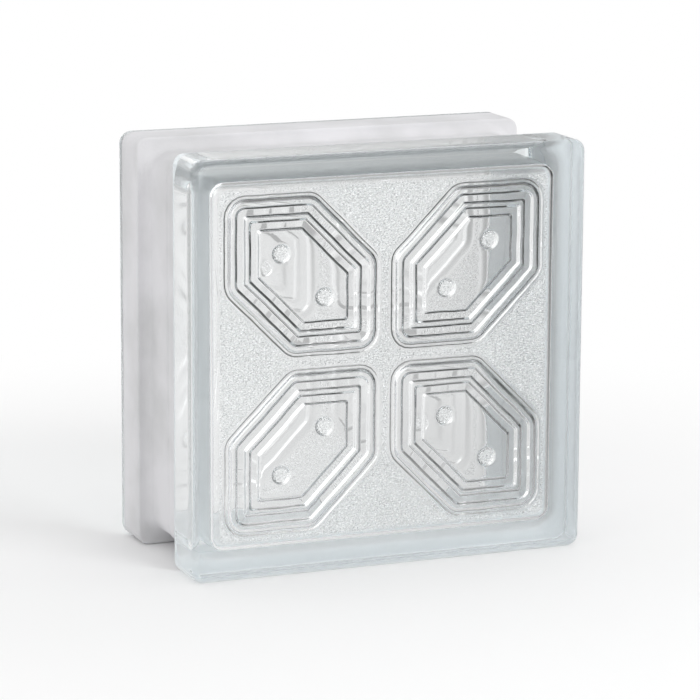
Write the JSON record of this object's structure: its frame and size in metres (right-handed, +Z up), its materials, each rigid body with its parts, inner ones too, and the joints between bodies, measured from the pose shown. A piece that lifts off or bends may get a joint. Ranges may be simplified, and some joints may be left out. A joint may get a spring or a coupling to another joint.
{
  "type": "glass block",
  "caption": "Square hollow pressed-glass wall block with smooth faces, a hexagon relief on the inside of each face and a coved mortar channel round its edges.",
  "frame": {"origin": "centre of the base edge, midway between the two faces", "axes": "+Z up, +X along the width, +Y through the depth from the front face to the back face"},
  "size_m": [0.19, 0.1, 0.19],
  "materials": {
    "glass": "clear pressed glass with polished faces, frosted white in the mortar channel"
  },
  "bodies": {
    "root": {"glass_block": "glass"}
  },
  "joints": []
}
